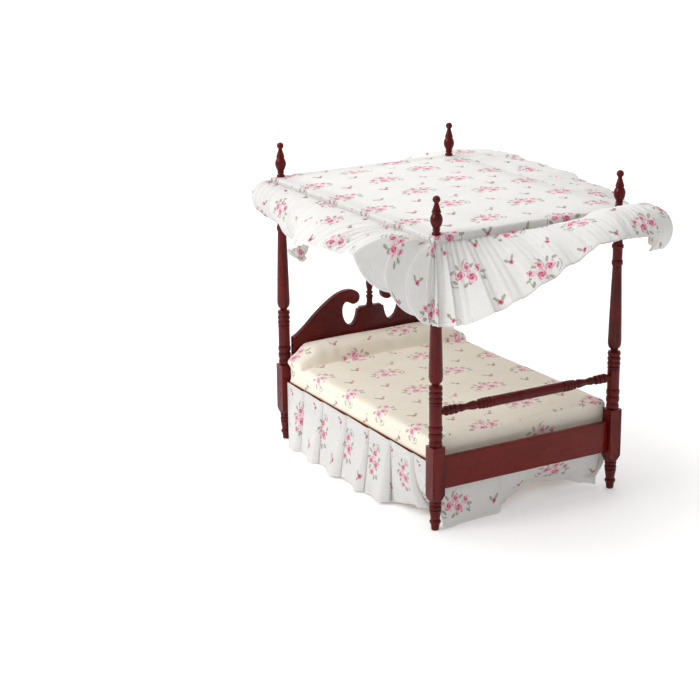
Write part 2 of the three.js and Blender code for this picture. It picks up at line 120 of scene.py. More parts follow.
class Shader:
    """A material and short ways to add nodes to it.

    A value is a number, a tuple or another node's output.
    """

    def __init__(self, name):
        self.material = bpy.data.materials.new(name)
        self.material.use_nodes = True
        self.tree = self.material.node_tree
        self.tree.nodes.clear()

    def node(self, kind, inputs=(), output=0, **settings):
        made = self.tree.nodes.new(kind)
        for key, value in settings.items():
            setattr(made, key, value)
        for key, value in dict(inputs).items():
            if isinstance(value, bpy.types.NodeSocket):
                self.tree.links.new(value, made.inputs[key])
            else:
                made.inputs[key].default_value = value
        return made.outputs[output]

    def math(self, operation, *values):
        return self.node("ShaderNodeMath", enumerate(values), operation=operation)

    def times(self, first, second):
        return self.math("MULTIPLY", first, second)

    def ramp(self, value, low, high, to_low=0.0, to_high=1.0):
        """value, moved smoothly from one range to another and clamped."""
        inputs = {"Value": value, "From Min": low, "From Max": high, "To Min": to_low, "To Max": to_high}
        return self.node("ShaderNodeMapRange", inputs, interpolation_type="SMOOTHSTEP", clamp=True)

    def mix(self, share, first, second, blend="MIX"):
        inputs = {0: share, 6: first, 7: second}
        return self.node("ShaderNodeMix", inputs, 2, data_type="RGBA", blend_type=blend)

    def noise(self, vector, scale, detail=3.0, roughness=0.5, output=0):
        inputs = {"Vector": vector, "Scale": scale, "Detail": detail, "Roughness": roughness}
        return self.node("ShaderNodeTexNoise", inputs, output)

    def stretch(self, vector, scale, kind="POINT", location=(0, 0, 0), turn=0.0):
        inputs = {"Vector": vector, "Location": location, "Rotation": (0, 0, turn), "Scale": scale}
        return self.node("ShaderNodeMapping", inputs, vector_type=kind)

    def bump(self, height, distance, strength=1.0):
        inputs = {"Height": height, "Distance": distance, "Strength": strength}
        return self.node("ShaderNodeBump", inputs)

    def finish(self, surface):
        target = self.tree.nodes.new("ShaderNodeOutputMaterial")
        self.tree.links.new(surface, target.inputs["Surface"])
        return self.material


# ---- wood ----
GRAIN_STRETCH = {"x": (0.06, 1, 1), "y": (1, 0.06, 1), "z": (1, 1, 0.06)}


def mahogany(axis):
    """Glossy red-brown lacquer over a fine straight grain along an axis."""
    s = Shader(f"mahogany_{axis}")
    place = s.node("ShaderNodeTexCoord", output=3)
    along = s.stretch(place, GRAIN_STRETCH[axis])
    grain = s.noise(along, 1500, 4, 0.6)
    bands = s.noise(along, 260, 2, 0.5)
    pores = s.ramp(s.noise(along, 4200, 2, 0.5), 0.56, 0.7)
    clouds = s.noise(place, 45, 2)
    colour = s.mix(s.ramp(grain, 0.3, 0.7), srgb(64, 3, 3), srgb(98, 9, 5))
    colour = s.mix(s.ramp(bands, 0.35, 0.65, 0.0, 0.45), colour, srgb(48, 3, 3))
    colour = s.mix(s.times(pores, 0.35), colour, srgb(40, 6, 6))
    colour = s.mix(s.ramp(clouds, 0.35, 0.7, 0.0, 0.25), colour, srgb(116, 16, 9))
    # painted highlight: a lighter red on the sharp rounded edges and beads (pointiness), where the
    # lacquer catches the light
    edges = s.node("ShaderNodeNewGeometry", output=7)
    colour = s.mix(s.ramp(edges, 0.52, 0.6, 0.0, 0.3), colour, srgb(140, 38, 26))
    normal = s.bump(s.mix(0.5, grain, pores), 0.00004, 0.35)
    orange_peel = s.bump(s.noise(place, 900, 2), 0.00003, 0.25)
    smears = s.ramp(s.noise(place, 130, 3), 0.35, 0.7, 0.26, 0.4)
    return s.finish(s.node("ShaderNodeBsdfPrincipled", {
        "Base Color": colour, "Roughness": smears, "Normal": normal, "Coat Weight": 0.24,
        "Coat Roughness": 0.14, "Coat Normal": orange_peel, "Specular IOR Level": 0.1,
    }))


def bare_wood(axis):
    """Pale unfinished batten wood."""
    s = Shader(f"bare_wood_{axis}")
    along = s.stretch(s.node("ShaderNodeTexCoord", output=3), GRAIN_STRETCH[axis])
    grain = s.noise(along, 900, 5, 0.6)
    colour = s.mix(s.ramp(grain, 0.3, 0.7), srgb(205, 172, 128), srgb(232, 206, 168))
    fibre = s.bump(grain, 0.00008, 0.5)
    return s.finish(s.node("ShaderNodeBsdfPrincipled", {
        "Base Color": colour, "Roughness": 0.75, "Normal": fibre,
    }))


# ---- printed cotton ----
PRINT_SCALE = 1.16  # millimetres of cloth to one unit of the drawing below
REPEAT_ACROSS = 33.0
REPEAT_ALONG = 31.0
# Flowers, buds, leaves and stems of one spray: place, size (where they differ) and turn.
ROSES = [
    ((-4.3, -1.0), 2.9, 0.3), ((1.6, -2.9), 3.3, 2.1), ((0.3, 2.0), 2.5, 4.0), ((6.0, 0.2), 2.0, 1.1),
]
BUDS = [((10.2, 11.6), (1.0, 1.5), 0.5), ((-10.6, 10.6), (0.9, 1.3), -0.7)]
LEAVES = [
    ((-8.0, 0.9), 0.5), ((-7.2, -3.6), -0.7), ((-4.9, 3.0), 2.1), ((-1.2, 4.2), 1.2),
    ((3.2, 2.2), 0.4), ((6.2, 0.9), -0.5), ((8.2, -2.2), 0.1), ((7.2, -5.4), -0.8),
    ((0.1, -5.2), 1.5), ((-2.3, -6.0), 0.6), ((12.0, 13.0), 0.9), ((8.6, 13.6), 2.3),
    ((-12.2, 12.4), 2.0),
]
STEMS = [
    ((-5.4, -2.2), (3.4, 4.4), 2.2), ((4.6, -3.4), (4.2, 3.4), -1.2), ((1.4, 2.6), (3.4, 3.2), 1.0),
    ((10.6, 9.0), (1.6, 3.2), 0.2), ((-9.4, 8.6), (1.4, 2.6), -0.9),
]


def rose_print(s, cloth, ground):
    """Sprays of pink roses in a half-drop repeat over the ground colour; cloth is (across, along)."""
    drawing = s.node("ShaderNodeVectorMath", {0: cloth, 3: 1 / PRINT_SCALE}, operation="SCALE")
    wobble = s.noise(drawing, 1.1, 3, output=1)
    shift = s.node("ShaderNodeVectorMath", {0: wobble, 1: (0.5, 0.5, 0.5)}, operation="SUBTRACT")
    shift = s.node("ShaderNodeVectorMath", {0: shift, 3: 1.5}, operation="SCALE")
    brushed = s.node("ShaderNodeVectorMath", {0: drawing, 1: shift}, operation="ADD")
    axes = s.node("ShaderNodeSeparateXYZ", {0: brushed})
    across = s.math("DIVIDE", axes, REPEAT_ACROSS)
    column = s.math("FLOOR", across)
    drop = s.times(column, 0.5)
    mirrored = s.math("SUBTRACT", 1.0, s.times(s.math("FLOORED_MODULO", column, 2.0), 2.0))
    along = s.math("ADD", s.math("DIVIDE", axes.node.outputs[1], REPEAT_ALONG), drop)
    x = s.times(s.math("SUBTRACT", s.math("FRACT", across), 0.5), REPEAT_ACROSS)
    x = s.times(x, mirrored)
    y = s.times(s.math("SUBTRACT", s.math("FRACT", along), 0.5), REPEAT_ALONG)
    cell = s.node("ShaderNodeCombineXYZ", {0: x, 1: y})

    def local(place, size, turn):
        """Coordinates in which an ellipse of that size, place and turn is the unit circle."""
        return s.stretch(cell, (size[0], size[1], 1), "TEXTURE", (*place, 0), turn)

    def radius(vector):
        return s.node("ShaderNodeVectorMath", {0: vector}, 1, operation="LENGTH")

    colour = ground
    for place, size, turn in STEMS:
        ring = local(place, size, turn)
        line = s.ramp(s.math("ABSOLUTE", s.math("SUBTRACT", radius(ring), 1.0)), 0.09, 0.03)
        half = s.ramp(s.node("ShaderNodeSeparateXYZ", {0: ring}, 1), 0.55, 0.7)
        drawn = s.times(s.times(line, half), 0.6)
        colour = s.mix(drawn, colour, srgb(126, 124, 108))
    for place, turn in LEAVES:
        blade = radius(local(place, (1.55, 0.72), turn))
        colour = s.mix(s.ramp(blade, 1.05, 0.85, 0.0, 0.75), colour, srgb(134, 140, 106))
        colour = s.mix(s.ramp(blade, 0.72, 0.45, 0.0, 0.8), colour, srgb(196, 200, 170))
    for place, size, turn in BUDS:
        bud = radius(local(place, size, turn))
        colour = s.mix(s.ramp(bud, 1.1, 0.8, 0.0, 0.9), colour, srgb(226, 124, 160))
        colour = s.mix(s.ramp(bud, 0.6, 0.3, 0.0, 0.9), colour, srgb(190, 44, 98))
    for place, size, turn in ROSES:
        petals = local(place, (size, size * 0.86), turn)
        reach = radius(petals)
        parts = s.node("ShaderNodeSeparateXYZ", {0: petals})
        angle = s.math("ARCTAN2", parts.node.outputs[1], parts)
        lobes = s.times(s.math("SINE", s.times(angle, 5.0)), 0.16)
        rim = s.math("ADD", reach, lobes)
        spiral = s.math("ADD", s.times(angle, 2.0), s.times(reach, 9.5))
        whorl = s.math("SINE", spiral)
        petal = s.mix(s.ramp(whorl, 0.0, 0.8), srgb(252, 226, 231), srgb(236, 140, 170))
        heart = s.mix(s.ramp(whorl, -0.3, 0.5), srgb(238, 150, 180), srgb(200, 40, 104))
        petal = s.mix(s.ramp(reach, 0.55, 0.4), petal, heart)
        colour = s.mix(s.ramp(rim, 1.06, 0.8, 0.0, 0.9), colour, petal)
    return colour


HEM_DEPTH = 2.2  # turned-up hem of the thin cloth
THREAD = 0.28  # thread spacing


def cotton(name, ground, shade, translucency, weave_bump):
    """Printed plain-weave cotton. Map "cloth" is in mm of cloth, attribute "edge" in mm from the hem."""
    s = Shader(name)
    cloth = s.node("ShaderNodeUVMap", uv_map="cloth")
    axes = s.node("ShaderNodeSeparateXYZ", {0: cloth})
    slub_along = s.noise(s.stretch(cloth, (2.6, 0.12, 1)), 1.0, 3, 0.6)
    slub_across = s.noise(s.stretch(cloth, (0.1, 2.4, 1)), 1.0, 3, 0.6)
    slubs = s.math("ADD", slub_along, s.times(slub_across, 0.5))
    mottle = s.noise(cloth, 0.05, 3, 0.5)
    base = s.mix(s.ramp(slubs, 0.55, 0.95), ground, shade)
    base = s.mix(s.ramp(mottle, 0.4, 0.7, 0.0, 0.5), base, shade)
    colour = rose_print(s, cloth, base)
    edge = s.node("ShaderNodeAttribute", output=2, attribute_name="edge")
    hem = s.ramp(edge, HEM_DEPTH + 0.15, HEM_DEPTH - 0.15)
    stitch_row = s.ramp(s.math("ABSOLUTE", s.math("SUBTRACT", edge, HEM_DEPTH - 0.5)), 0.22, 0.08)
    dashes = s.ramp(s.math("SINE", s.times(axes, math.tau / 1.6)), -0.3, 0.1)
    stitches = s.times(stitch_row, dashes)
    colour = s.mix(s.times(stitches, 0.35), colour, srgb(205, 200, 196))
    warp = s.math("SINE", s.times(axes, math.tau / THREAD))
    weft = s.math("SINE", s.times(axes.node.outputs[1], math.tau / THREAD))
    weave = s.times(s.times(warp, weft), 0.5)
    threads = s.math("ADD", weave, s.times(slubs, 1.4))
    threads = s.math("ADD", threads, s.times(stitches, -2.0))
    threads = s.math("ADD", threads, s.times(hem, 1.5))
    creases = s.noise(cloth, 0.22, 3, 0.55)
    height = s.math("ADD", threads, s.times(creases, 6.0))
    normal = s.bump(height, weave_bump, 1.0)
    surface = s.node("ShaderNodeBsdfPrincipled", {
        "Base Color": colour, "Roughness": 0.82, "Normal": normal, "Sheen Weight": 0.25,
        "Sheen Roughness": 0.5, "Specular IOR Level": 0.25,
    })
    if translucency:
        glow = s.node("ShaderNodeBsdfTranslucent", {"Color": colour, "Normal": normal})
        share = s.ramp(hem, 0.0, 1.0, translucency, translucency * 0.55)
        surface = s.node("ShaderNodeMixShader", {0: share, 1: surface, 2: glow})
    return s.finish(surface)


MAHOGANY = {axis: mahogany(axis) for axis in "xyz"}
BARE_WOOD = {axis: bare_wood(axis) for axis in "xyz"}
SPREAD_COTTON = cotton("spread_cotton", srgb(253, 247, 233), srgb(247, 238, 220), 0.0, 0.00008)
CANOPY_COTTON = cotton("canopy_cotton", srgb(252, 251, 249), srgb(243, 242, 240), 0.32, 0.00007)

# ---- making meshes ----


def new_object(name, mesh, material, body, sharp=38):
    mesh.materials.append(material)
    mesh.shade_smooth()
    if sharp:
        mesh.set_sharp_from_angle(angle=math.radians(sharp))
    made = bpy.data.objects.new(name, mesh)
    bpy.context.scene.collection.objects.link(made)
    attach(made, body)
    return made


def polished(name, mesh, axis, body="bedstead", sharp=38):
    """A mahogany piece with its grain along an axis."""
    return new_object(name, mesh, MAHOGANY[axis], body, sharp)


def mesh_of(points, faces):
    """A mesh from points in millimetres."""
    mesh = bpy.data.meshes.new("mesh")
    mesh.from_pydata([tuple(c * MM for c in p) for p in points], [], faces)
    mesh.update()
    return mesh


def turned(profile, segments=48):
    """A closed turning round Z from (radius, height) points in mm that start and end on the axis."""
    rings = profile[1:-1]
    points = [(0, 0, profile[0][1])]
    for radius, height in rings:
        for i in range(segments):
            angle = math.tau * i / segments
            points.append((radius * math.cos(angle), radius * math.sin(angle), height))
    points.append((0, 0, profile[-1][1]))
    last = len(points) - 1
    faces = []
    for i in range(segments):
        after = (i + 1) % segments
        faces.append((0, 1 + after, 1 + i))
        for r in range(len(rings) - 1):
            low, high = 1 + r * segments, 1 + (r + 1) * segments
            faces.append((low + i, low + after, high + after, high + i))
        top = 1 + (len(rings) - 1) * segments
        faces.append((top + i, top + after, last))
    return mesh_of(points, faces)


def finished(bm, name="mesh"):
    mesh = bpy.data.meshes.new(name)
    bm.to_mesh(mesh)
    bm.free()
    return mesh


def joined(meshes):
    """Several meshes as one."""
    bm = bmesh.new()
    for mesh in meshes:
        bm.from_mesh(mesh)
    return finished(bm)


def moved(mesh, x=0.0, y=0.0, z=0.0, turn=None):
    """A copy of a mesh, turned and then moved by millimetres."""
    copy = mesh.copy()
    if turn:
        copy.transform(turn)
    copy.transform(Matrix.Translation((x * MM, y * MM, z * MM)))
    return copy


def cuboid(low, high, bevel=0.35):
    """A board with rounded edges, from its two corners in mm."""
    bm = bmesh.new()
    bmesh.ops.create_cube(bm, size=1)
    size = (np.array(high) - np.array(low)) * MM
    centre = (np.array(high) + np.array(low)) / 2 * MM
    bmesh.ops.scale(bm, vec=size, verts=bm.verts)
    bmesh.ops.translate(bm, vec=centre, verts=bm.verts)
    bmesh.ops.bevel(bm, geom=list(bm.edges), offset=bevel * MM, segments=3, profile=0.5, affect="EDGES")
    return finished(bm)


def evaluated(made):
    """An object's mesh with its modifiers applied."""
    depsgraph = bpy.context.evaluated_depsgraph_get()
    return bpy.data.meshes.new_from_object(made.evaluated_get(depsgraph))


def common_part(first, second):
    """What two closed meshes have in common."""
    pair = [bpy.data.objects.new("part", mesh) for mesh in (first, second)]
    for part in pair:
        bpy.context.scene.collection.objects.link(part)
    modifier = pair[0].modifiers.new("cut", "BOOLEAN")
    modifier.operation = "INTERSECT"
    modifier.object = pair[1]
    mesh = evaluated(pair[0])
    for part in pair:
        bpy.data.objects.remove(part)
    return mesh


# ---- turning profiles, as (radius, height) ----


def bead(radius, low, high, depth=0.75, steps=8):
    """A round bead with a quirk on each side."""
    middle, half = (low + high) / 2, (high - low) / 2
    points = []
    for i in range(steps + 1):
        angle = math.pi * i / steps
        quirk = 1.35 * depth * (1 - math.sin(angle) ** 0.6)
        points.append((radius - quirk, middle - half * math.cos(angle)))
    return points


def flowing(*knots, steps=6):
    """A smooth curve through (radius, height) knots."""
    knots = [knots[0], *knots, knots[-1]]
    points = []
    for a, b, c, d in zip(knots, knots[1:], knots[2:], knots[3:]):
        for i in range(steps):
            t = i / steps
            points.append(tuple(
                0.5 * (2 * q + (r - p) * t + (2 * p - 5 * q + 4 * r - w) * t * t
                       + (3 * q - p - 3 * r + w) * t ** 3)
                for p, q, r, w in zip(a, b, c, d)))
    return [*points, knots[-1]]


PIN_RADIUS = 1.2
PIN_BOTTOM = 157
BLOCK_FOOT = 17.2
BLOCK_SHOULDER = 21.5
BLOCK_TOP = 49.5
LOWER_TURNING = [
    (0, 0), (1.9, 0), (2.2, 0.35), *flowing((2.25, 0.6), (2.35, 2), (2.6, 3.7)),
    *bead(3.25, 3.9, 6.1), *flowing((2.55, 6.3), (2.9, 8.5), (3.4, 11.6), (3.45, 12)),
    *bead(3.55, 12.4, 14.6, 0.6), *bead(3.5, 14.9, 17, 0.5), (3.0, 17.2), (3.0, 20), (0, 20),
]
BELL = [
    (0, BLOCK_FOOT), (3.35, BLOCK_FOOT), *flowing((3.7, 17.5), (4.6, 19.2), (5.8, BLOCK_SHOULDER)),
    (5.85, BLOCK_TOP - 0.3), (5.4, BLOCK_TOP), (0, BLOCK_TOP),
]
UPPER_TURNING = [
    (0, BLOCK_TOP - 1), (3.5, BLOCK_TOP - 1), (3.5, 49.9),
    *flowing((3.6, 50.2), (3.75, 51.4), (3.45, 53)),
    *bead(3.95, 53.5, 57.5, 0.6), *bead(3.95, 57.8, 61.7, 0.6), (3.5, 61.9), (3.6, 62.6), (3.6, 73.6),
    *bead(3.75, 74, 75.3, 0.35), *bead(3.85, 75.6, 78.2, 0.6), *bead(3.85, 78.5, 81.4, 0.6),
    *bead(3.85, 81.7, 84.7, 0.7), (2.2, 84.9), (2.05, 85.4),
    *flowing((2.3, 85.9), (3.35, 87), (3.85, 88.8), (3.95, 91), (3.85, 96), (3.4, 113), (2.75, 133),
             (2.65, 134.8)),
    *bead(3.3, 135.4, 138.9, 0.6), (2.85, 139.2), (2.85, 145.2), *bead(3.5, 145.5, 147.9, 0.5),
    (2.75, 148.2), (2.7, 161.2), *bead(3.3, 161.5, 163.6, 0.5), (3.3, 163.9), (3.3, POST_TOP),
    (PIN_RADIUS + 0.3, POST_TOP), (PIN_RADIUS + 0.3, PIN_BOTTOM - 0.4), (0, PIN_BOTTOM - 0.4),
]
FINIAL_TURNING = [
    (0, PIN_BOTTOM), (PIN_RADIUS - 0.2, PIN_BOTTOM), (PIN_RADIUS, PIN_BOTTOM + 0.4),
    (PIN_RADIUS, 168.8), *bead(2.45, 168.9, 170.7, 0.4), (1.75, 171), *bead(2.1, 171.4, 172.7, 0.3),
    *flowing((1.9, 172.9), (2.4, 173.9), (3.1, 175.5), (3.4, 177.3), (3.2, 178.8), (2.5, 180.4),
             (2.1, 181)),
    *bead(2.6, 181.1, 182.2, 0.35), *flowing((2.3, 182.4), (1.9, 183.8), (1.35, 185.6), (1.2, 186.5)),
    *[(2.12 * math.sin(a), 188.4 - 2.12 * math.cos(a)) for a in np.linspace(0.62, math.pi - 0.05, 12)],
    (0, 190.5),
]
HEADBOARD_FINIAL = [
    (0, 74.5), (PIN_RADIUS, 74.5), (PIN_RADIUS, 79.4), (2.2, 79.5), (2.25, 80.4), (1.9, 80.9),
    (1.9, 83.9), *bead(2.3, 84.1, 86.2, 0.5), (1.6, 86.6), *bead(2.2, 87.1, 88.5, 0.4), (1.5, 88.9),
    *flowing((1.6, 89.3), (2.0, 91), (2.3, 93.6), (2.25, 95.6), (1.7, 98.6), (0.8, 100.8)), (0, 101.5),
]
SPINDLE_HALF = [
    (2.95, 24), *bead(3.15, 24.4, 26.5, 0.6), *bead(3.15, 26.7, 28.7, 0.6), *bead(3.1, 28.9, 30.9, 0.6),
    *bead(2.9, 31.1, 33, 0.6),
    *flowing((1.9, 33.4), (2.35, 34.7), (2.55, 36.2), (2.2, 38.6), (1.8, 41), (2.05, 43), (2.3, 44.8),
             (1.8, 46.8)),
    *bead(2.7, 47.1, 49.6, 0.6), *bead(2.8, 49.9, 52.6, 0.6), *bead(2.8, 52.9, 55.4, 0.6), (1.9, 55.8),
    (1.9, 57.6), (PIN_RADIUS, 57.7), (PIN_RADIUS, SPINDLE_HIGH[0]),
]
SPINDLE_TURNING = [
    (0, -SPINDLE_HIGH[0]), *[(r, -z) for r, z in reversed(SPINDLE_HALF)],
    *SPINDLE_HALF, (0, SPINDLE_HIGH[0]),
]

# ---- bedstead ----


def make_posts():
    half = BLOCK / 2
    square = cuboid((-half, -half, BLOCK_FOOT - 2), (half, half, BLOCK_TOP + 2), 0.3)
    block = common_part(square, turned(BELL, 96))
    post = joined([turned(LOWER_TURNING), block, turned(UPPER_TURNING)])
    finial = turned(FINIAL_TURNING)
    for corner, (sx, sy) in CORNERS.items():
        turn = Matrix.Rotation(math.pi / 2 * (sx + 2 * sy), 4, "Z")
        place = (sx * POST_X, sy * POST_Y, 0)
        made = polished(f"turned_post_{corner}", moved(post, *place, turn), "z")
        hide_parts(f"post_{corner}")
        made = polished(f"turned_finial_{corner}", moved(finial, *place, turn), "z", f"finial_{corner}")
        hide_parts(f"finial_{corner}")


# The crest of the headboard from the right post to the plinth: each span has two controls and an end.
CREST_START = (56.6, 66.8)
CREST = [
    ((53.5, 67.5), (48.5, 71.8), (44.0, 76.0)),
    ((38.5, 81.2), (32.5, 85.6), (27.5, 88.6)),
    ((24.0, 90.7), (20.0, 92.0), (16.3, 92.0)),
    ((11.6, 92.0), (8.1, 89.6), (8.1, 86.4)),
    ((8.1, 83.4), (10.4, 82.1), (12.6, 82.1)),
    ((14.6, 82.1), (15.6, 83.9), (17.6, 84.1)),
    ((20.2, 84.3), (20.9, 80.9), (20.8, 78.1)),
    ((20.7, 73.4), (17.9, 68.7), (14.6, 68.7)),
    ((11.4, 68.7), (10.2, 73.0), (9.4, 78.2)),
]
PLINTH = [(7.6, 78.5), (7.6, 79.5)]


def bezier_points(start, spans, steps=8):
    points = [Vector(start)]
    for first, second, end in spans:
        a, b, c, d = points[-1], Vector(first), Vector(second), Vector(end)
        for i in range(1, steps + 1):
            t = i / steps
            u = 1 - t
            points.append(a * u ** 3 + b * 3 * t * u ** 2 + c * 3 * t * t * u + d * t ** 3)
    return points


def make_headboard():
    waist = BLOCK_TOP - 0.4
    half = HEADBOARD_HIGH[0]
    below = [(half, HEADBOARD_LOW[2]), (half, waist), (CREST_START[0], waist + 0.4)]
    right = [*map(Vector, below), *bezier_points(CREST_START, CREST), *map(Vector, PLINTH)]
    outline = right + [Vector((-p.x, p.y)) for p in reversed(right)]
    bm = bmesh.new()
    front = HEADBOARD_LOW[1]
    verts = [bm.verts.new((p.x * MM, front * MM, p.y * MM)) for p in outline]
    face = bm.faces.new(verts)
    depth = (HEADBOARD_HIGH[1] - front) * MM
    grown = bmesh.ops.extrude_face_region(bm, geom=[face])
    back = [v for v in grown["geom"] if isinstance(v, bmesh.types.BMVert)]
    bmesh.ops.translate(bm, vec=(0, depth, 0), verts=back)
    bmesh.ops.recalc_face_normals(bm, faces=bm.faces)
    rims = [e for e in bm.edges if abs(e.verts[0].co.y - e.verts[1].co.y) < 1e-7]
    bmesh.ops.bevel(bm, geom=rims, offset=0.45 * MM, segments=3, profile=0.5, affect="EDGES")
    bmesh.ops.triangulate(bm, faces=[f for f in bm.faces if len(f.verts) > 4])
    made = polished("scrolled_headboard", finished(bm, "headboard"), "x", sharp=30)
    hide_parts("headboard_panel")
    y = (HEADBOARD_LOW[1] + HEADBOARD_HIGH[1]) / 2
    made = polished("turned_headboard_finial", moved(turned(HEADBOARD_FINIAL), 0, y), "z")
    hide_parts("headboard_finial")


def make_boards():
    for name, node, axis in [
        ("polished_footboard", "footboard", "x"),
        ("polished_side_rail_left", "side_rail_left", "y"),
        ("polished_side_rail_right", "side_rail_right", "y"),
    ]:
        made = polished(name, cuboid(*box_mm(node)), axis)
        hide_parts(node)
    turn = Matrix.Rotation(math.pi / 2, 4, "Y")
    middle = (SPINDLE_LOW + SPINDLE_HIGH) / 2
    spindle = moved(turned(SPINDLE_TURNING), 0, -POST_Y, middle[2], turn)
    made = polished("turned_foot_spindle", spindle, "x")
    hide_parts("foot_spindle")


def finish_inner_wood():
    """The battens, slats, ledgers, dowels and mattress board keep their own shape, in bare wood."""
    slots = {row["node"]: row["material_slot"] for row in frame["record"]["subparts"]}
    for node, made in frame["nodes"].items():
        if slots[node] != "bare_wood":
            continue
        size = made.dimensions
        axis = "xyz"[max(range(3), key=lambda i: size[i])]
        made.data.materials.clear()
        made.data.materials.append(BARE_WOOD[axis])


make_posts()
make_headboard()
make_boards()
finish_inner_wood()

# ---- cloth sheets ----
SHEET = 0.22  # thickness of the thin cotton
FAR_FROM_HEM = 50.0  # given to cloth that has no hem of its own


def wave(value, seed, pitch):
    """Smooth noise from -1 to 1 along a line, with features about one pitch apart."""
    return noise.noise(Vector((value / pitch, seed * 7.31, seed * 1.7))) * 1.6


def smooth(value, low, high):
    t = min(1.0, max(0.0, (value - low) / (high - low)))
    return t * t * (3 - 2 * t)


def keyed(keys, place):
    """Values that run smoothly through a list of (place, value, ...) keys."""
    for a, b in zip(keys, keys[1:]):
        if place <= b[0]:
            share = smooth(place, a[0], b[0])
            return [p + (q - p) * share for p, q in zip(a[1:], b[1:])]
    return list(keys[-1][1:])


def sheet_mesh(grid, cloth, edge, closed=False):
    """A grid of points (columns x rows x 3) as a mesh with its cloth UV and its distance from the hem."""
    columns, rows = grid.shape[:2]
    faces = []
    for i in range(columns if closed else columns - 1):
        for j in range(rows - 1):
            a, b = i * rows + j, (i + 1) % columns * rows + j
            faces.append((a, b, b + 1, a + 1))
    mesh = mesh_of(grid.reshape(-1, 3), faces)
    flat = cloth.reshape(-1, 2)
    uv = mesh.uv_layers.new(name="cloth")
    for polygon in mesh.polygons:
        for loop in polygon.loop_indices:
            uv.data[loop].uv = flat[mesh.loops[loop].vertex_index]
    if closed:  # the last column of faces joins the first: its far side goes on counting
        turn_length = 2 * flat[-1, 0] - flat[-1 - rows, 0]
        last = (columns - 1) * (rows - 1)
        for polygon in list(mesh.polygons)[last:]:
            for loop in polygon.loop_indices:
                if mesh.loops[loop].vertex_index < rows:
                    uv.data[loop].uv[0] += turn_length
    attribute = mesh.attributes.new("edge", "FLOAT", "POINT")
    attribute.data.foreach_set("value", edge.reshape(-1).astype(np.float32))
    return mesh


def apply_modifiers(made):
    mesh = evaluated(made)
    made.modifiers.clear()
    made.data = mesh


def cotton_sheet(name, mesh, body):
    """A piece of the thin cotton: the mesh is given its thickness, and is closed."""
    made = new_object(name, mesh, CANOPY_COTTON, body, None)
    modifier = made.modifiers.new("thickness", "SOLIDIFY")
    modifier.thickness = SHEET * MM
    modifier.offset = 0
    apply_modifiers(made)
    return made


def arc_lengths(points):
    steps = np.linalg.norm(np.diff(points, axis=0), axis=1)
    return np.concatenate([[0], np.cumsum(steps)])


# ---- canopy ----
FRAME_X = CLOTH_HIGH[0]
FRAME_Y = CLOTH_HIGH[1]
TOP_Z = CLOTH_HIGH[2]
SEAM_Z = CLOTH_LOW[2]
TURN_DOWN = TOP_Z - SEAM_Z  # the top cloth covers the batten edges down to the valance seam


def make_top_cloth():
    """A slightly domed sheet that turns down over the battens, puckered near its seam."""
    def stations(half, count):
        inside = np.linspace(-half, half, count)
        over = np.linspace(0.4, TURN_DOWN + 0.4, 6)
        return np.concatenate([-half - over[::-1], inside, half + over])

    xs, ys = stations(FRAME_X - 0.5, 110), stations(FRAME_Y - 0.5, 150)
    grid = np.zeros((len(xs), len(ys), 3))
    cloth = np.zeros((len(xs), len(ys), 2))
    for i, u in enumerate(xs):
        for j, v in enumerate(ys):
            over = max(0.0, abs(u) - FRAME_X + 0.5, abs(v) - FRAME_Y + 0.5)
            x = math.copysign(min(abs(u), FRAME_X), u)
            y = math.copysign(min(abs(v), FRAME_Y), v)
            inset_x, inset_y = FRAME_X - abs(x), FRAME_Y - abs(y)
            inset = min(inset_x, inset_y)
            dome = 2.4 * smooth(inset, 0, 42)
            bow = 1.3 * math.cos(math.pi / 2 * x / FRAME_X) * smooth(-y, FRAME_Y - 26, FRAME_Y)
            along = y if inset_x < inset_y else x
            pucker = 0.32 * wave(along, 3, 5.5) * math.exp(-inset / 9)
            crease = 0.55 * wave(x * 0.8 + y * 0.5, 5, 30) * smooth(inset, 0, 20)
            crease += 0.4 * wave(x * 0.35 - y * 0.9, 8, 17) * smooth(inset, 0, 16)
            fold_line = 0.35 * math.exp(-((y + 4 - 0.06 * x) / 1.6) ** 2) * smooth(inset, 0, 14)
            height = TOP_Z + 0.15 + dome + bow + pucker + crease + fold_line
            grid[i, j] = (x, y, height - over * (height - SEAM_Z) / TURN_DOWN)
            cloth[i, j] = (u, v)
    mesh = sheet_mesh(grid, cloth, np.full(grid.shape[:2], FAR_FROM_HEM))
    bm = bmesh.new()
    bm.from_mesh(mesh)
    bmesh.ops.remove_doubles(bm, verts=bm.verts, dist=0.02 * MM)
    bmesh.ops.dissolve_degenerate(bm, edges=bm.edges, dist=0.01 * MM)
    bm.to_mesh(mesh)
    bm.free()
    made = cotton_sheet("canopy_top", mesh, "canopy")
    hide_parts("canopy_top_cloth")


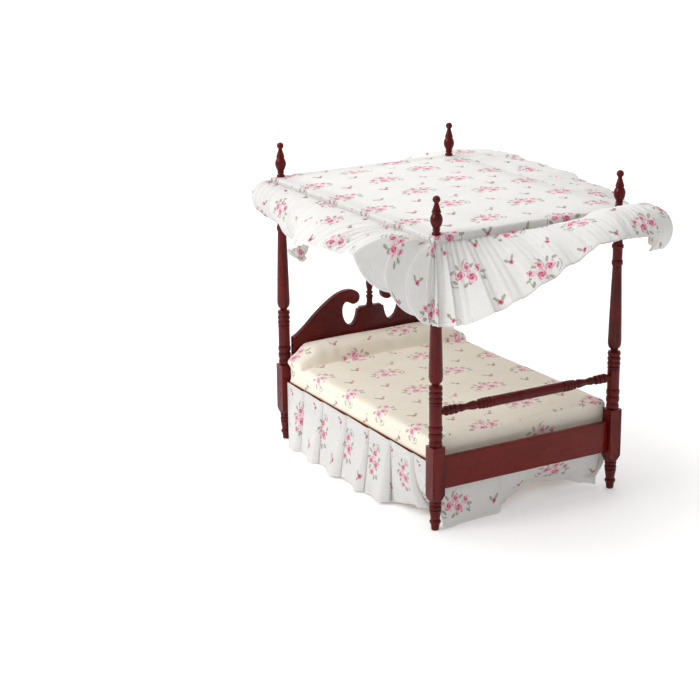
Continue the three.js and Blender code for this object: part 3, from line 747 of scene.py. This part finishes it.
# How the valance stands along each side, going anticlockwise from the front left corner: place along the
# side, slope at the seam and at the hem in degrees out from straight down, and how deep its folds are.
VALANCE_DROP = 45
SIDES = [
    ("front", [(0, 8, 2, 0.9), (0.06, 22, 12, 0.8), (0.14, 46, 38, 0.6), (0.24, 64, 48, 0.6),
               (0.34, 84, 48, 0.5), (0.45, 102, 55, 0.5), (0.6, 116, 60, 0.4), (0.69, 124, 56, 0.4),
               (0.78, 146, 30, 0.4), (0.94, 150, 22, 0.4), (1, 150, -48, 0.3)]),
    ("right", [(0, 140, -50, 0.3), (0.08, 108, -8, 0.4), (0.2, 94, 44, 0.5), (0.4, 95, 70, 0.5),
               (0.7, 98, 78, 0.5), (1, 98, 80, 0.4)]),
    ("back", [(0, 96, 74, 0.4), (0.25, 88, 46, 0.5), (0.6, 84, 44, 0.5), (0.85, 90, 0, 0.6),
              (1, 108, -84, 0.5)]),
    ("left", [(0, 110, -80, 0.6), (0.16, 108, -84, 0.7), (0.3, 108, -78, 0.8), (0.38, 106, -50, 0.9),
              (0.5, 104, 34, 0.9), (0.66, 106, 54, 0.7), (0.8, 108, 60, 0.6), (0.945, 116, 58, 0.5),
              (0.97, 124, -36, 0.6), (0.985, 66, -40, 0.8), (1, 14, -10, 0.8)]),
]
COLUMN_PITCH = 0.62  # distance between columns of the mesh along the seam
CROWDING = 0.12  # draws the columns of a side together towards its corners
CORNER_COLUMNS = 64
CORNER_SPREAD = 24  # length of cloth gathered into each corner
CORNER_RADIUS = 1.2
VALANCE_ROWS = 30
SEAM_STAND = 0.25  # the valance is sewn on outside the top cloth, and overlaps its edge
FINE_PITCH = 3.3  # of the gathers along the seam
FOLD_PITCH = 8.7  # of the folds that the gathers run into
BUNCHED = 0.32  # share of the drop that is crumpled up at the back left corner
BUNCH_REACH = 34  # how far from that corner this is felt


def valance_columns():
    """Each column's seam point, heading in plan, (two slopes, fold depth) and place along the strip."""
    columns = []
    place = 0.0
    heading = -math.pi / 2
    for n, (_, keys) in enumerate(SIDES):
        half_length, offset = (FRAME_X, FRAME_Y) if n % 2 == 0 else (FRAME_Y, FRAME_X)
        half_length -= CORNER_RADIUS
        out = np.array([math.cos(heading), math.sin(heading)])
        side = np.array([-out[1], out[0]])
        count = int(2 * half_length / COLUMN_PITCH)
        for i in range(count):
            even = (i + 0.5) / count
            share = even - CROWDING * math.sin(math.tau * even)
            seam = out * (offset + SEAM_STAND) + side * (2 * share - 1) * half_length
            columns.append((seam, heading, keyed(keys, share), place + share * 2 * half_length))
        place += 2 * half_length
        pivot = out * (offset + SEAM_STAND - CORNER_RADIUS) + side * half_length
        following = SIDES[(n + 1) % 4][1][0][1:]
        for i in range(CORNER_COLUMNS):
            share = (i + 0.5) / CORNER_COLUMNS
            turn = heading + math.pi / 2 * share
            seam = pivot + CORNER_RADIUS * np.array([math.cos(turn), math.sin(turn)])
            blend = [p + (q - p) * smooth(share, 0.15, 0.85) for p, q in zip(keys[-1][1:], following)]
            columns.append((seam, turn, blend, place))
            place += CORNER_SPREAD / CORNER_COLUMNS
        heading += math.pi / 2
    return columns


def gathers(place, t, depth):
    """How far a gathered strip stands off its smooth surface, and how far it slides sideways."""
    phase = 1.3 * wave(place, 11, 12)
    fine = math.sin(math.tau * place / FINE_PITCH + 2 * phase) * (0.42 - 0.22 * t)
    turn = math.tau * place / FOLD_PITCH + 3 * phase
    medium = math.sin(turn) * (0.15 + 1.3 * t) * (0.6 + 0.5 * wave(place, 17, 23))
    broad = wave(place, 23, 17) * 3.4 * t ** 1.3
    stand = fine + (medium + broad) * depth
    slide = math.cos(turn) * 0.7 * t * depth
    return stand, slide


def make_valance():
    """Hangs each column from its seam point, its slope turning from seam to hem, and adds the gathers."""
    columns = valance_columns()
    rows = np.linspace(0, 1, VALANCE_ROWS)
    grid = np.zeros((len(columns), VALANCE_ROWS, 3))
    for i, (seam, heading, (top, hem, depth), place) in enumerate(columns):
        out = np.array([math.cos(heading), math.sin(heading)])
        side = np.array([-out[1], out[0]])
        reach, fall = 0.0, 0.0
        to_bunch = math.hypot(seam[0] + FRAME_X, seam[1] - FRAME_Y)
        left_over = 1 - BUNCHED * math.exp(-((to_bunch / BUNCH_REACH) ** 2))
        drop = VALANCE_DROP * left_over + 0.5 * wave(place, 31, 40)
        for j, t in enumerate(rows):
            angle = math.radians(top + (hem - top) * t)
            if j:
                reach += math.sin(angle) * drop / (VALANCE_ROWS - 1)
                fall += math.cos(angle) * drop / (VALANCE_ROWS - 1)
            stand, slide = gathers(place, t, depth)
            plan = seam + out * (reach + stand * math.cos(angle)) + side * slide
            grid[i, j] = (*plan, SEAM_Z + SEAM_STAND - fall + stand * math.sin(angle))
    along = arc_lengths(grid[:, VALANCE_ROWS // 2])
    cloth = np.zeros((*grid.shape[:2], 2))
    cloth[:, :, 0] = along[:, None]
    cloth[:, :, 1] = -VALANCE_DROP * rows[None, :]
    edge = np.broadcast_to(VALANCE_DROP * (1 - rows), grid.shape[:2])
    made = cotton_sheet("gathered_valance", sheet_mesh(grid, cloth, edge, closed=True), "canopy")
    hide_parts(*[f"valance_{name}" for name, _ in SIDES])


make_top_cloth()
make_valance()

# ---- bedding ----
SPREAD_X = SPREAD_HIGH[0]
SPREAD_Y = SPREAD_HIGH[1]
SPREAD_BOTTOM = SPREAD_LOW[2]
MATTRESS_TOP = 54.4
BOLSTER_TOP = SPREAD_HIGH[2]
BOLSTER_FRONT = 65.5
SIM_SCALE = 10  # the simulation runs ten times larger, at a size cloth settings suit
SIM_FRAMES = 20
HELD_DEPTH = 1.5  # height of the cover's lowest part, which stays where it is
VOXEL = 1.4  # size of the cover's mesh before it is subdivided
PUFF_ROOM = 0.45  # how much smaller the block is made, to leave room for the puffing
PUFF_LIMIT = 0.8  # how far the pressure may move the cover


def bedding_height(x, y):
    """Height of the cover over the mattress and bolster, before it is puffed."""
    inset = min(SPREAD_X - abs(x), SPREAD_Y + y)
    roll = 3.2
    edge_drop = roll - math.sqrt(max(0.0, roll * roll - max(0.0, roll - inset) ** 2))
    mattress = MATTRESS_TOP - 1.2 - edge_drop + 1.2 * smooth(x, -20, 50) * smooth(-y, -40, 60)
    along = (y - BOLSTER_FRONT) / (SPREAD_Y - BOLSTER_FRONT)
    if along <= 0:
        return mattress
    hump = (1 - abs(1 - 2 * min(0.5, along)) ** 2.6) ** (1 / 2.2)
    end_slope = 1 - smooth(abs(x), 48, SPREAD_X + 3) ** 1.15
    return mattress + (BOLSTER_TOP - 1.4 - mattress) * hump * end_slope


def bedding_block(shrink):
    """The closed shape of mattress and bolster under their cover, a little smaller all round."""
    nx, ny = 64, 96
    xs = np.linspace(-SPREAD_X + shrink, SPREAD_X - shrink, nx)
    ys = np.linspace(-SPREAD_Y + shrink, SPREAD_Y - shrink, ny)
    points = [(x, y, bedding_height(x, y) - shrink) for x in xs for y in ys]
    points += [(x, y, SPREAD_BOTTOM + 0.3) for x in xs for y in ys]
    layer = nx * ny
    faces = []
    for i in range(nx - 1):
        for j in range(ny - 1):
            a = i * ny + j
            faces.append((a, a + ny, a + ny + 1, a + 1))
            faces.append((a + layer, a + layer + 1, a + layer + ny + 1, a + layer + ny))
    rim = [(i * ny, (i + 1) * ny) for i in range(nx - 1)]
    rim += [((nx - 1) * ny + j, (nx - 1) * ny + j + 1) for j in range(ny - 1)]
    rim += [(i * ny + ny - 1, (i - 1) * ny + ny - 1) for i in range(nx - 1, 0, -1)]
    rim += [(j, j - 1) for j in range(ny - 1, 0, -1)]
    faces += [(b, a, a + layer, b + layer) for a, b in rim]
    return mesh_of(points, faces)


def coordinates(mesh):
    co = np.zeros(len(mesh.vertices) * 3)
    mesh.vertices.foreach_get("co", co)
    return co.reshape(-1, 3)


def puffed(made):
    """Blows the cover up a little as cloth under pressure, its bottom held, and caps how far it moves."""
    made.data.transform(Matrix.Scale(SIM_SCALE, 4))
    remesh = made.modifiers.new("remesh", "REMESH")
    remesh.mode = "VOXEL"
    remesh.voxel_size = VOXEL * MM * SIM_SCALE
    apply_modifiers(made)
    start = coordinates(made.data)
    held = made.vertex_groups.new(name="held")
    floor = (SPREAD_BOTTOM + HELD_DEPTH) * MM * SIM_SCALE
    held.add([int(i) for i in np.flatnonzero(start[:, 2] < floor)], 1.0, "REPLACE")
    cloth = made.modifiers.new("cloth", "CLOTH")
    settings = cloth.settings
    settings.quality = 5
    settings.mass = 0.3
    settings.tension_stiffness = settings.compression_stiffness = 12
    settings.bending_stiffness = 0.4
    settings.use_pressure = True
    settings.uniform_pressure_force = 4
    settings.vertex_group_mass = "held"
    settings.effector_weights.gravity = 0
    cloth.collision_settings.use_collision = False
    scene = bpy.context.scene
    for step in range(1, SIM_FRAMES + 1):
        scene.frame_set(step)
    end = coordinates(evaluated(made))
    made.modifiers.clear()
    scene.frame_set(1)
    move = end - start
    length = np.linalg.norm(move, axis=1, keepdims=True)
    limit = PUFF_LIMIT * MM * SIM_SCALE
    move *= np.minimum(1, limit / np.maximum(length, 1e-9))
    made.data.vertices.foreach_set("co", (start + move).ravel())
    made.vertex_groups.clear()
    made.data.transform(Matrix.Scale(1 / SIM_SCALE, 4))
    subdivide = made.modifiers.new("subdivide", "SUBSURF")
    subdivide.levels = subdivide.render_levels = 1
    apply_modifiers(made)


def add_wrinkles(mesh):
    """Tension lines where the cover is pulled over the corners and along the bolster."""
    mesh.update()
    normals = np.zeros(len(mesh.vertices) * 3)
    mesh.vertices.foreach_get("normal", normals)
    normals = normals.reshape(-1, 3)
    co = coordinates(mesh)
    for k, (x, y, z) in enumerate(co / MM):
        if z < SPREAD_BOTTOM + 1:
            continue
        soft = 0.22 * wave(x + 0.4 * y, 41, 26) + 0.1 * wave(y - 0.3 * x, 43, 11)
        near_bolster = math.exp(-((y - BOLSTER_FRONT) / 7) ** 2)
        crease_y = BOLSTER_FRONT - 0.4 + 0.5 * wave(x, 45, 20)
        if z > MATTRESS_TOP - 3:
            co[k, 2] -= 2.6 * math.exp(-((y - crease_y) / 1.1) ** 2) * MM
        corner = math.exp(-((z - MATTRESS_TOP + 0.5) / 4) ** 2) * smooth(abs(x), 48, 58)
        corner *= smooth(y, 63, 68)
        co[k, 0] += math.copysign(2.3, x) * corner * MM
        soft += 0.3 * wave(x, 47, 5.5) * near_bolster
        ends = smooth(abs(x), 40, SPREAD_X) * smooth(y, 50, 75)
        soft += 0.4 * wave(z * 1.4 + y * 0.3, 53, 6) * ends
        near_edge = math.exp(-max(0.0, min(SPREAD_X - abs(x), SPREAD_Y + y)) / 5)
        soft += 0.16 * wave(x + y, 59, 4.5) * near_edge
        co[k] += normals[k] * soft * MM
    co[:, 1] = np.minimum(co[:, 1], (SPREAD_Y - 0.3) * MM)
    mesh.vertices.foreach_set("co", co.ravel())
    mesh.update()


STEEP = 0.72  # a face whose normal leans sideways by more than this is part of a side
PRINT_START = (4, 7)  # where the print's repeat begins on the cover


def lay_print(mesh):
    """Unfolds the cover: the top lies flat and each side folds down from the top's edge."""
    uv = mesh.uv_layers.new(name="cloth")
    for polygon in mesh.polygons:
        normal, centre = polygon.normal, polygon.center / MM
        for loop in polygon.loop_indices:
            x, y, z = mesh.vertices[mesh.loops[loop].vertex_index].co / MM
            drop = MATTRESS_TOP - z
            if abs(normal.x) > STEEP and centre.z < MATTRESS_TOP:
                x = math.copysign(SPREAD_X + drop, x)
            elif abs(normal.y) > STEEP and centre.y < 0:
                y = -SPREAD_Y - drop
            elif centre.y > BOLSTER_FRONT - 3:
                y += max(0.0, -drop)
            uv.data[loop].uv = (x + PRINT_START[0], y + PRINT_START[1])
    edge = mesh.attributes.new("edge", "FLOAT", "POINT")
    edge.data.foreach_set("value", np.full(len(mesh.vertices), FAR_FROM_HEM, np.float32))


def make_bedspread():
    made = new_object("printed_bedspread", bedding_block(PUFF_ROOM), SPREAD_COTTON, "bedding",
                      None)
    puffed(made)
    add_wrinkles(made.data)
    lay_print(made.data)
    made.data.shade_smooth()
    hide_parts("bedspread", "mattress_core", "bolster")


SKIRT_TOP = SKIRT_HIGH[2] + 0.6
SKIRT_ROWS = 34
# By place along the bed: where the left skirt's pleats fold, how far its hem stands out from the mattress
# side, and how high it hangs.
PLEAT_EDGES = [-83.2, -66, -41, -17, 9, 38, 62, 83.2]
SIDE_HEM = [
    (-83.5, -11), (-74, -13), (-62, -9), (-50, -3), (-38, 2), (-10, 5), (20, 5), (45, 5.5), (70, 3),
    (83.5, 0),
]
HEM_LIFT = [(-83.5, 5), (-74, 6.5), (-62, 4.5), (-45, 2), (-20, 1), (10, 1.5), (40, 0.6), (83.5, 1)]
PLEAT_FOLD = 2.2  # how far a pleat's edge overlaps the next
PLEAT_COLUMNS = 44
SIDE_REACH = 83.6  # a side skirt keeps within this of the middle, along the bed


def side_skirt(name, sx, hem_keys, lift_keys, seed):
    """A strip of knife pleats along a side; each swells towards the foot and steps back at its fold."""
    columns = []
    for n, (a, b) in enumerate(zip(PLEAT_EDGES, PLEAT_EDGES[1:])):
        for share in np.linspace(0, 1, PLEAT_COLUMNS, endpoint=False):
            columns.append((a, b, n, share))
    columns.append((PLEAT_EDGES[-2], PLEAT_EDGES[-1], len(PLEAT_EDGES) - 2, 1.0))
    rows = np.linspace(0, 1, SKIRT_ROWS)
    grid = np.zeros((len(columns), SKIRT_ROWS, 3))
    for i, (a, b, n, share) in enumerate(columns):
        flat = a + (b - a) * share
        hem_out, = keyed(hem_keys, flat)
        lift, = keyed(lift_keys, flat)
        for j, t in enumerate(rows):
            swell = (1.0 - share) ** 1.2 * smooth(share, 0, 0.07) if n else (1 - share)
            fold = PLEAT_FOLD * (1 - smooth(share, 0, 0.1)) * (0.5 + t) if n else 0
            deep = 1.0 + 5.0 * t ** 1.3 * (0.8 + 0.35 * wave(n * 9.7, seed, 5))
            ripple = 0.6 * wave(flat, seed + 3, 5) * t + 1.8 * wave(flat, seed + 5, 15) * t ** 1.3
            base = hem_out * t ** 2.6 if hem_out < 0 else hem_out * t ** 1.3
            out = 0.15 + base + deep * swell + ripple * (0.4 + 0.6 * t)
            along = flat - fold * (1 - share) + 0.6 * wave(flat, seed + 7, 14) * t
            along = min(max(along, -SIDE_REACH), SIDE_REACH)
            grid[i, j] = (sx * (SPREAD_X + out), along, SKIRT_TOP - (SKIRT_TOP - lift) * t)
    return skirt_piece(name, grid, rows, sx)


def skirt_piece(name, grid, rows, sx):
    """Makes a skirt from its grid. On the sides the print runs down the cloth, on the front across it."""
    along = arc_lengths(grid[:, int(SKIRT_ROWS * 0.6)])
    length = SKIRT_TOP
    cloth = np.zeros((*grid.shape[:2], 2))
    if sx:
        cloth[:, :, 0] = sx * (SPREAD_X + 16 + length * rows[None, :])
        cloth[:, :, 1] = along[:, None] + 3
    else:
        cloth[:, :, 0] = along[:, None] + 9
        cloth[:, :, 1] = -SPREAD_Y - 16 - length * rows[None, :]
    edge = np.broadcast_to(length * (1 - rows), grid.shape[:2])
    made = cotton_sheet(name, sheet_mesh(grid, cloth, edge), "bedding")
    return made


# By place across the front skirt: how far its hem stands forward of the mattress, and how high it hangs.
FRONT_HALF = 56.6
FRONT_HEM = [
    (-FRONT_HALF, 5.6), (-40, 5), (-18, 2), (-14, -2), (4, -12), (9, -15.5), (20, -17.5), (38, -14),
    (49, -8), (FRONT_HALF, -4.6),
]
FRONT_LIFT = [
    (-FRONT_HALF, 0.3), (-18, 0.5), (-12, 2.5), (6, 4), (10, 5.5), (38, 4), (50, 1.5), (FRONT_HALF, 0.6),
]
FRONT_FOLDS = [(-15.5, 3.2), (7.0, 2.6)]  # place and depth of the two folds


def front_skirt():
    """The skirt behind the footboard: two shallow folds, and a right edge that curls back."""
    xs = np.linspace(-FRONT_HALF, FRONT_HALF, 260)
    rows = np.linspace(0, 1, SKIRT_ROWS)
    grid = np.zeros((len(xs), SKIRT_ROWS, 3))
    for i, x in enumerate(xs):
        forward, = keyed(FRONT_HEM, x)
        lift, = keyed(FRONT_LIFT, x)
        for j, t in enumerate(rows):
            step = sum(deep * (1 - smooth(x, at - 0.5, at + 0.5)) * smooth(x, at - 16, at)
                       for at, deep in FRONT_FOLDS)
            slide = sum(1.2 * math.exp(-((x - at) / 1.2) ** 2) for at, _ in FRONT_FOLDS)
            ripple = 0.3 * wave(x, 71, 6) + 0.9 * wave(x, 73, 18) * t
            out = (forward + step * 0.6) * t ** 2.2 + ripple * t
            curl = smooth(x, 44, FRONT_HALF) * t ** 1.5 * 3.5 * math.sin(math.pi * t)
            z = SKIRT_TOP - (SKIRT_TOP - lift) * t
            grid[i, j] = (x + slide * t - curl * 0.6, -SPREAD_Y - 0.5 - out, z)
    return skirt_piece("skirt_behind_footboard", grid, rows, 0)


def make_skirts():
    left = side_skirt("pleated_skirt_left", -1, SIDE_HEM, HEM_LIFT, 61)
    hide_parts("skirt_left")
    right_hem = [(y, 0.6 * out if out > 0 else 1.4 * out) for y, out in SIDE_HEM]
    right = side_skirt("pleated_skirt_right", 1, right_hem, HEM_LIFT, 67)
    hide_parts("skirt_right")
    for piece, sx in [(left, -1), (right, 1)]:
        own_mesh(piece)
    front = front_skirt()
    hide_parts("skirt_front")
    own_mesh(front)


make_bedspread()
make_skirts()

# ---- studio ----
WORLD_LIGHT = 0.5
PAPER_GLOW = 0.22
LIGHTS_AIM = (0, 0, 0.09)  # in metres


def make_studio():
    """A white sweep of paper in front of the camera's view, two lights from above and a weak fill."""
    scene = bpy.context.scene
    scene.view_settings.view_transform = "Standard"
    world = bpy.data.worlds.new("studio")
    world.use_nodes = True
    background = world.node_tree.nodes["Background"]
    background.inputs[0].default_value = (1, 1, 1, 1)
    background.inputs[1].default_value = WORLD_LIGHT
    scene.world = world
    bend = np.linspace(0.1, math.pi / 2, 16)
    profile = [(-3000, 0), (600, 0)]
    profile += [(600 + 500 * math.sin(a), 500 - 500 * math.cos(a)) for a in bend]
    profile += [(1100, 3000)]
    points = [(x, y, z) for y, z in profile for x in (-3500, 3500)]
    faces = [(2 * i, 2 * i + 1, 2 * i + 3, 2 * i + 2) for i in range(len(profile) - 1)]
    floor_mesh = mesh_of(points, faces)
    floor_mesh.transform(Matrix.Rotation(-CAMERA_YAW, 4, "Z"))
    floor_mesh.shade_smooth()
    paper = Shader("floor_paper")
    grain = paper.noise(paper.node("ShaderNodeTexCoord", output=3), 300, 3)
    tone = paper.mix(paper.ramp(grain, 0.3, 0.7), srgb(246, 246, 246), srgb(250, 250, 250))
    floor_mesh.materials.append(paper.finish(paper.node("ShaderNodeBsdfPrincipled", {
        "Base Color": tone, "Roughness": 0.7, "Specular IOR Level": 0.2,
        "Emission Color": (1, 1, 1, 1), "Emission Strength": PAPER_GLOW,
    })))
    floor = bpy.data.objects.new("floor", floor_mesh)
    scene.collection.objects.link(floor)
    for name, place, size, power in [  # places and sizes in metres, power in watts
        ("key", (-1.05, 0.1, 0.8), 0.5, 7.0),
        ("top", (-0.15, 0.4, 1.25), 0.9, 7.4),
        ("fill", (0.7, -1.1, 0.7), 0.8, 0.5),
    ]:
        data = bpy.data.lights.new(name, "AREA")
        data.size = size
        data.energy = power
        lamp = bpy.data.objects.new(name, data)
        lamp.location = place
        lamp.rotation_mode = "QUATERNION"
        lamp.rotation_quaternion = (Vector(LIGHTS_AIM) - Vector(place)).to_track_quat("-Z", "Y")
        scene.collection.objects.link(lamp)


make_studio()
